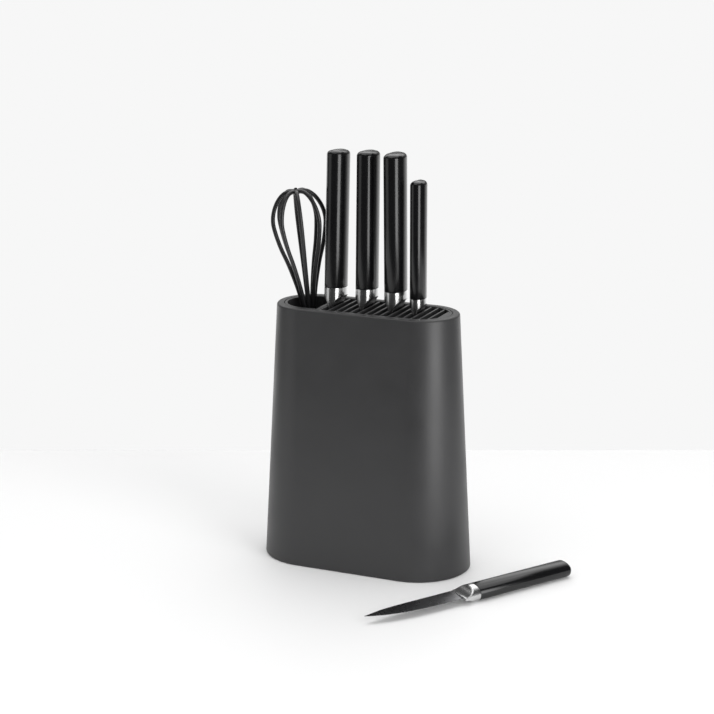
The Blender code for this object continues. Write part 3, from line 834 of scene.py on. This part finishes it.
@dataclass
class Whisk:
    """The nylon whisk: a cage of strands from a small hub, and the handle it plugs into."""

    finishes: Finishes
    foot: Vector = Vector((-0.0465, 0.0149, 0.0806))
    hub: float = 0.2434
    route: tuple[tuple[float, float], ...] = (
        (0.0012, 0.0038), (0.0055, 0.0032), (0.0105, 0.0044), (0.0160, 0.0095), (0.0205, 0.0179), (0.0225, 0.0274),
        (0.0215, 0.0374), (0.0182, 0.0514), (0.0133, 0.0664), (0.0082, 0.0860), (0.0050, 0.1030), (0.0040, 0.1130))
    strands: int = 8
    strand_radius: float = 0.0018
    turn: float = math.radians(-60)
    hub_radius: float = 0.0037
    plug: tuple[float, float, float] = (0.0061, 0.1085, 0.014)
    handle_radius: float = 0.0072
    handle_top: float = 0.1100

    def place(self) -> Matrix:
        """From the whisk's own frame, hub up Z, to its lean in the well."""
        axis = Vector(next(j["axis"] for j in frame["record"]["behaviour"]["joints"] if j["child"] == "whisk"))
        return Matrix.Translation(self.foot) @ Vector((0, 0, 1)).rotation_difference(axis).to_matrix().to_4x4()

    def smooth_route(self, per_span: int = 6) -> list[tuple[float, float]]:
        """The strand's route, (out from the axis, down from the hub), as a smooth curve."""
        points = [Vector(point) for point in self.route]
        padded = [points[0] * 2 - points[1], *points, points[-1] * 2 - points[-2]]
        made = []
        for a, b, c, d in zip(padded, padded[1:], padded[2:], padded[3:]):
            for i in range(per_span):
                t = i / per_span
                made.append(0.5 * (2 * b + (c - a) * t + (2 * a - 5 * b + 4 * c - d) * t * t
                                   + (3 * b - a - 3 * c + d) * t ** 3))
        return [(point.x, point.y) for point in [*made, points[-1]]]

    def add_strand(self, bm: bmesh.types.BMesh, turn: float) -> None:
        """Adds one strand as rings swept along its route."""
        outward = Vector((math.cos(turn), math.sin(turn), 0.0))
        across = Vector((-outward.y, outward.x, 0.0))
        spots = [outward * out + Vector((0, 0, self.hub - down)) for out, down in self.smooth_route()]
        rings = []
        for i, spot in enumerate(spots):
            along = (spots[min(i + 1, len(spots) - 1)] - spots[max(i - 1, 0)]).normalized()
            lift = along.cross(across)
            ring = []
            for k in range(20):
                angle = 2 * math.pi * k / 20
                ring.append(spot + (across * math.cos(angle) + lift * math.sin(angle)) * self.strand_radius)
            rings.append(add_ring(bm, ring))
        skin(bm, rings)

    def build_cage(self, place: Matrix) -> None:
        """Makes the hub, the strands and their plug."""
        piece = Piece("whisk_strands")
        top, r = self.hub, self.hub_radius
        add_spin(piece.bm, [(0, top), (0.0009, top - 0.0002), (0.0013, top - 0.0008), (0.0015, top - 0.0014),
                            (0.0024, top - 0.0018), (r - 0.0006, top - 0.0024), (r, top - 0.0034),
                            (r - 0.0003, top - 0.0048), (r - 0.0014, top - 0.0056), (0, top - 0.0056)])
        radius, down, length = self.plug
        add_spin(piece.bm, [(0, top - down), (radius - 0.001, top - down), (radius - 0.0003, top - down - 0.0003),
                            (radius, top - down - 0.001), (radius, top - down - length), (0, top - down - length)])
        for index in range(self.strands):
            self.add_strand(piece.bm, self.turn + 2 * math.pi * index / self.strands)
        piece.finish(self.finishes, Slot.WHISK, Body.WHISK.value, ["whisk_cage"], place)

    def build_handle(self, place: Matrix) -> None:
        """Makes the handle: a round bar with a rounded foot and a socket for the plug."""
        piece = Piece("whisk_grip")
        radius, down, length = self.plug
        top = self.hub - self.handle_top
        floor = self.hub - down - length - 0.0003
        socket = radius + 0.0003
        profile = [(0, floor), (socket, floor), (socket, top), (self.handle_radius - 0.0003, top),
                   (self.handle_radius, top - 0.0003)]
        for i in range(13):
            angle = math.radians(7.5 * i)
            profile.append((self.handle_radius * math.cos(angle), -self.handle_radius * math.sin(angle)))
        profile[-1] = (0, -self.handle_radius)
        add_spin(piece.bm, profile)
        piece.finish(self.finishes, Slot.WHISK, Body.WHISK.value, ["whisk_handle"], place)

    def build(self) -> None:
        """Makes the cage and the handle."""
        place = self.place()
        self.build_cage(place)
        self.build_handle(place)


# ---------------------------------------------------------------- studio


@dataclass(frozen=True)
class Softbox:
    """A soft rectangular light that faces a point."""

    name: str
    size: tuple[float, float]
    power: float
    place: tuple[float, float, float]
    aim: tuple[float, float, float]

    def build(self) -> None:
        """Makes the light."""
        data = bpy.data.lights.new(self.name, "AREA")
        data.shape = "RECTANGLE"
        data.size, data.size_y = self.size
        data.energy = self.power
        light = bpy.data.objects.new(self.name, data)
        light.location = self.place
        light.rotation_euler = (Vector(self.place) - Vector(self.aim)).to_track_quat("Z", "Y").to_euler()
        bpy.context.scene.collection.objects.link(light)


SOFTBOXES = (
    Softbox("strip_right", (0.80, 1.5), 19.0, (1.25, -0.66, 0.30), (0.0, 0.0, 0.15)),
    Softbox("strip_left", (0.90, 1.2), 2.4, (-1.05, -0.76, 0.35), (0.0, 0.0, 0.20)),
    Softbox("overhead", (2.2, 1.6), 18.5, (-0.10, 0.10, 1.80), (0.0, 0.0, 0.0)),
)


@dataclass
class Studio:
    """A pale worktop, soft light and the camera."""

    eye: tuple[float, float, float] = (0.6586, -1.5168, 0.6111)
    turn: tuple[float, float, float] = (1.31632, 0.0, 0.41508)
    lens: float = 100.65
    worktop_back: float = 0.315
    worktop_front: float = 0.36
    worktop_width: float = 1.5
    worktop_white: float = 0.87
    sky: float = 0.93
    fill: float = 0.55
    front_level: float = 0.02
    back_span: tuple[float, float] = (0.30, 0.85)
    back_profile: tuple[tuple[float, float], ...] = ((-1.0, 0.60), (0.0, 0.60), (0.06, 0.12), (0.34, 0.15),
                                                     (0.48, 0.95), (1.0, 0.9))
    back_strength: float = 2.4

    def build_camera(self) -> None:
        """Makes the camera."""
        data = bpy.data.cameras.new("camera")
        data.lens = self.lens
        data.sensor_width = 36.0
        data.dof.use_dof = False
        camera = bpy.data.objects.new("camera", data)
        camera.location = self.eye
        camera.rotation_euler = self.turn
        bpy.context.scene.collection.objects.link(camera)
        bpy.context.scene.camera = camera

    def build_worktop(self) -> None:
        """Makes the worktop, whose far edge runs square to the view."""
        bm = bmesh.new()
        spin = Matrix.Rotation(self.turn[2], 4, "Z")
        shift = Matrix.Translation((0.0, (self.worktop_back - self.worktop_front) / 2, 0.0))
        size = Matrix.Diagonal((self.worktop_width, self.worktop_back + self.worktop_front, 1.0, 1.0))
        bmesh.ops.create_grid(bm, x_segments=1, y_segments=1, size=0.5, matrix=spin @ shift @ size)
        mesh = bpy.data.meshes.new("worktop")
        bm.to_mesh(mesh)
        bm.free()
        worktop = bpy.data.objects.new("worktop", mesh)
        bpy.context.scene.collection.objects.link(worktop)
        shader = Shader("worktop_white")
        cloud = shader.noise(shader.place(), 0.4)
        white = (self.worktop_white,) * 3
        shader.set(Base_Color=shader.tint(cloud, shade(white, 0.995), white), Roughness=0.55)
        mesh.materials.append(shader.material)

    def build_sky(self) -> None:
        """Makes the surroundings: bright behind the set, darker on the viewer's side."""
        world = bpy.data.worlds.new("studio")
        bpy.context.scene.world = world
        world.use_nodes = True
        tree = world.node_tree
        tree.nodes.clear()

        def add(kind: str) -> bpy.types.Node:
            return tree.nodes.new(f"ShaderNode{kind}")

        def link(output: bpy.types.NodeSocket, target: bpy.types.NodeSocket) -> None:
            tree.links.new(output, target)

        direction, behind, split, turn = add("TexCoord"), add("VectorMath"), add("SeparateXYZ"), add("MapRange")
        behind.operation = "DOT_PRODUCT"
        behind.inputs[1].default_value = (-math.sin(self.turn[2]), math.cos(self.turn[2]), 0.0)
        turn.interpolation_type = "SMOOTHSTEP"
        turn.inputs["From Min"].default_value, turn.inputs["From Max"].default_value = self.back_span
        link(direction.outputs["Generated"], behind.inputs[0])
        link(direction.outputs["Generated"], split.inputs[0])
        link(behind.outputs["Value"], turn.inputs["Value"])
        rise = add("MapRange")
        rise.inputs["From Min"].default_value = -1.0
        link(split.outputs["Z"], rise.inputs["Value"])
        profile = add("ValToRGB")
        link(rise.outputs["Result"], profile.inputs["Fac"])
        stops = profile.color_ramp.elements
        while len(stops) < len(self.back_profile):
            stops.new(0.5)
        for stop, (height, level) in zip(stops, self.back_profile):
            stop.position = (height + 1.0) / 2
            stop.color = (level, level, level, 1.0)
        tone = add("Mix")
        tone.data_type = "RGBA"
        tone.inputs["A"].default_value = (self.front_level,) * 3 + (1.0,)
        link(turn.outputs["Result"], tone.inputs["Factor"])
        link(profile.outputs["Color"], tone.inputs["B"])
        path, output = add("LightPath"), add("OutputWorld")
        mirrored, spread, seen, inner, outer = (add("Background"), add("Background"), add("Background"),
                                                add("MixShader"), add("MixShader"))
        link(tone.outputs["Result"], mirrored.inputs["Color"])
        mirrored.inputs["Strength"].default_value = self.back_strength
        spread.inputs["Color"].default_value = (self.fill,) * 3 + (1.0,)
        seen.inputs["Color"].default_value = (self.sky,) * 3 + (1.0,)
        link(path.outputs["Is Diffuse Ray"], inner.inputs["Fac"])
        link(mirrored.outputs["Background"], inner.inputs[1])
        link(spread.outputs["Background"], inner.inputs[2])
        link(path.outputs["Is Camera Ray"], outer.inputs["Fac"])
        link(inner.outputs["Shader"], outer.inputs[1])
        link(seen.outputs["Background"], outer.inputs[2])
        link(outer.outputs["Shader"], output.inputs["Surface"])

    def build(self) -> None:
        """Makes the whole studio."""
        bpy.context.scene.view_settings.view_transform = "Standard"
        self.build_camera()
        self.build_worktop()
        self.build_sky()
        for softbox in SOFTBOXES:
            softbox.build()
        LOG.info("studio ready")


def main() -> None:
    """Builds the set piece by piece."""
    logging.basicConfig(level=logging.INFO, format="%(name)s %(message)s")
    studio = Studio()
    studio.build()
    finishes = Finishes()
    Shell(finishes).build()
    Foot(finishes).build()
    Insert(finishes).build()
    KnifeSet(finishes).build()
    Whisk(finishes).build()


if __name__ == "__main__":
    main()
